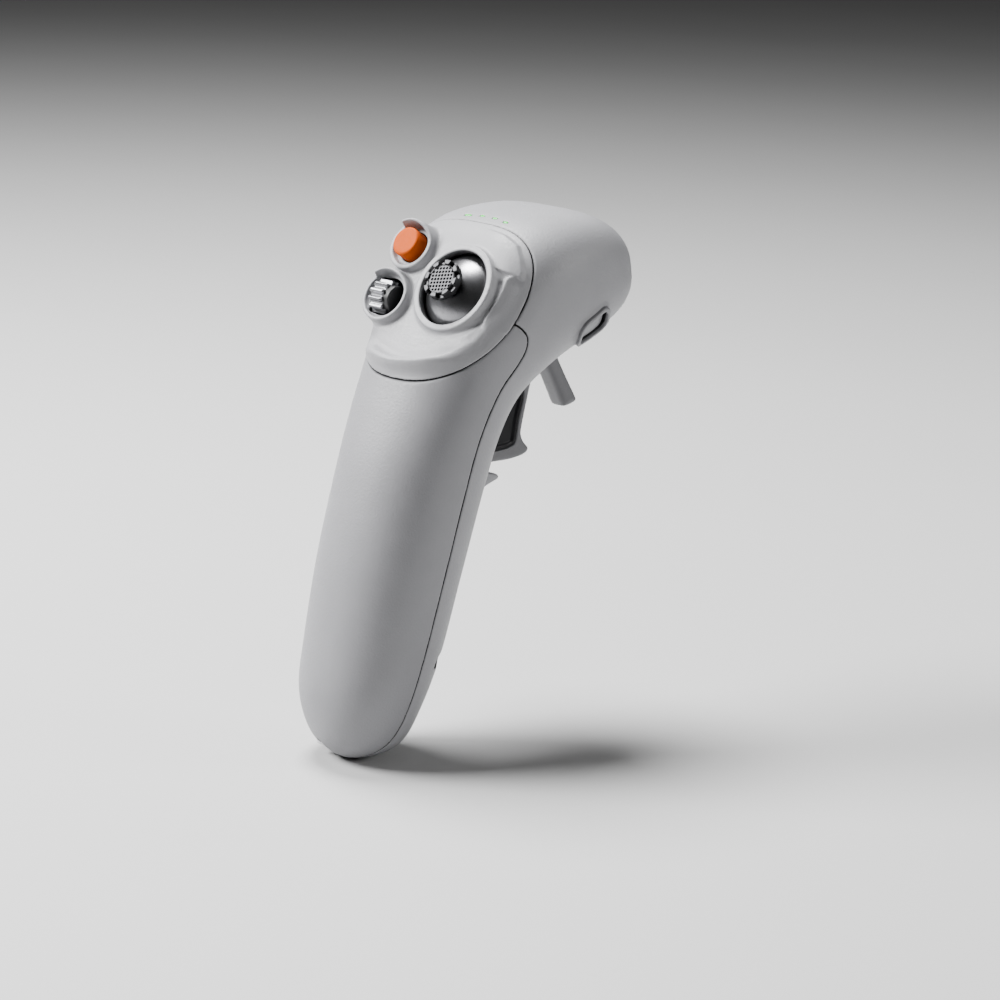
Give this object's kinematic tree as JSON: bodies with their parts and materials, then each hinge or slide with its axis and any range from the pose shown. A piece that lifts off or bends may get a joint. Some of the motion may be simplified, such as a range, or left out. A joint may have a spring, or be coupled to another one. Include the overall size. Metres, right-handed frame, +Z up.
{
  "type": "radio transmitter controller",
  "caption": "One-handed motion controller: a raked grey grip with a short head, a thumb panel with joystick, lock button and wheel, a rocking trigger, side and front buttons.",
  "frame": {"origin": "bottom centre of the bounding box, under the end of the grip", "axes": "+Z up along the grip's height, +Y forwards out of the nose, +X to the user's right"},
  "size_m": [0.0536, 0.0995, 0.142],
  "materials": {
    "shell_plastic": "fine textured",
    "grip_plastic": "fine textured",
    "panel_plastic": "fine textured",
    "trim_plastic": "satin",
    "trigger_plastic": "satin",
    "orange_plastic": "satin",
    "dial_plastic": "glossy",
    "black_plastic": "matte",
    "black_gloss": "glossy",
    "inner_plastic": "matte",
    "dark_rubber": "matte",
    "chrome": "polished",
    "dome_metal": "satin",
    "aluminium": "satin",
    "steel": "satin",
    "brass": "satin",
    "board": "solder mask",
    "green_light": "clear tinted",
    "cell_wrap": "shrink wrap"
  },
  "bodies": {
    "body": {"main_shell": "shell_plastic", "palm_shell": "grip_plastic", "thumb_panel": "panel_plastic", "side_bezel": "trim_plastic", "front_bezel": "trim_plastic", "chassis": "inner_plastic", "chassis_screws": "steel", "shell_screws": "steel", "gimbal_base": "inner_plastic", "lock_switch": "black_plastic", "dial_bracket": "black_plastic", "thumb_board": "board", "side_switch": "black_plastic", "front_switch": "black_plastic", "trigger_pin": "steel", "trigger_spring": "steel", "hall_board": "board", "main_board": "board", "light_pipes": "green_light", "antenna": "brass", "battery_cell": "cell_wrap", "battery_cradle": "inner_plastic", "vibration_motor": "steel", "power_board": "board", "usb_socket": "steel", "lanyard_pin": "steel"},
    "gimbal_ring": {"gimbal_ring": "aluminium"},
    "stick": {"stick_shaft": "steel", "stick_dome": "dome_metal", "stick_cap": "chrome"},
    "lock_button": {"lock_button": "orange_plastic"},
    "dial": {"dial_wheel": "dial_plastic"},
    "side_button": {"side_button": "trim_plastic"},
    "front_button": {"front_button": "trim_plastic"},
    "trigger": {"trigger": "trigger_plastic", "trigger_inlay": "black_gloss", "hall_magnet": "chrome"},
    "usb_flap": {"usb_flap": "dark_rubber"}
  },
  "joints": [
    {"name": "stick_pitch", "type": "hinge", "parent": "body", "child": "gimbal_ring", "pos_m": [0.006, -0.00078, 0.11831], "axis": [1, 0, 0], "range_deg": [-15, 15], "stiffness_Nm_per_rad": 0.02},
    {"name": "stick_roll", "type": "hinge", "parent": "gimbal_ring", "child": "stick", "pos_m": [0.006, -0.00078, 0.11831], "axis": [0, 0.524, 0.8517], "range_deg": [-15, 15], "stiffness_Nm_per_rad": 0.02},
    {"name": "lock_press", "type": "slide", "parent": "body", "child": "lock_button", "axis": [0, 0.8517, -0.524], "range_m": [0, 0.0011], "stiffness_N_per_m": 900},
    {"name": "dial_turn", "type": "hinge", "parent": "body", "child": "dial", "pos_m": [-0.0147, -0.01289, 0.11848], "axis": [1, 0, 0], "continuous": true},
    {"name": "side_press", "type": "slide", "parent": "body", "child": "side_button", "axis": [-0.8387, 0, 0.5446], "range_m": [0, 0.0005], "stiffness_N_per_m": 900},
    {"name": "front_press", "type": "slide", "parent": "body", "child": "front_button", "axis": [0, -1, 0], "range_m": [0, 0.0008], "stiffness_N_per_m": 900},
    {"name": "trigger_rock", "type": "hinge", "parent": "body", "child": "trigger", "pos_m": [0, 0.029, 0.1096], "axis": [1, 0, 0], "range_deg": [-9, 4], "stiffness_Nm_per_rad": 0.15},
    {"name": "flap_swing", "type": "hinge", "parent": "body", "child": "usb_flap", "pos_m": [0, -0.03835, 0.00115], "axis": [1, 0, 0], "range_deg": [-58, 0]}
  ]
}
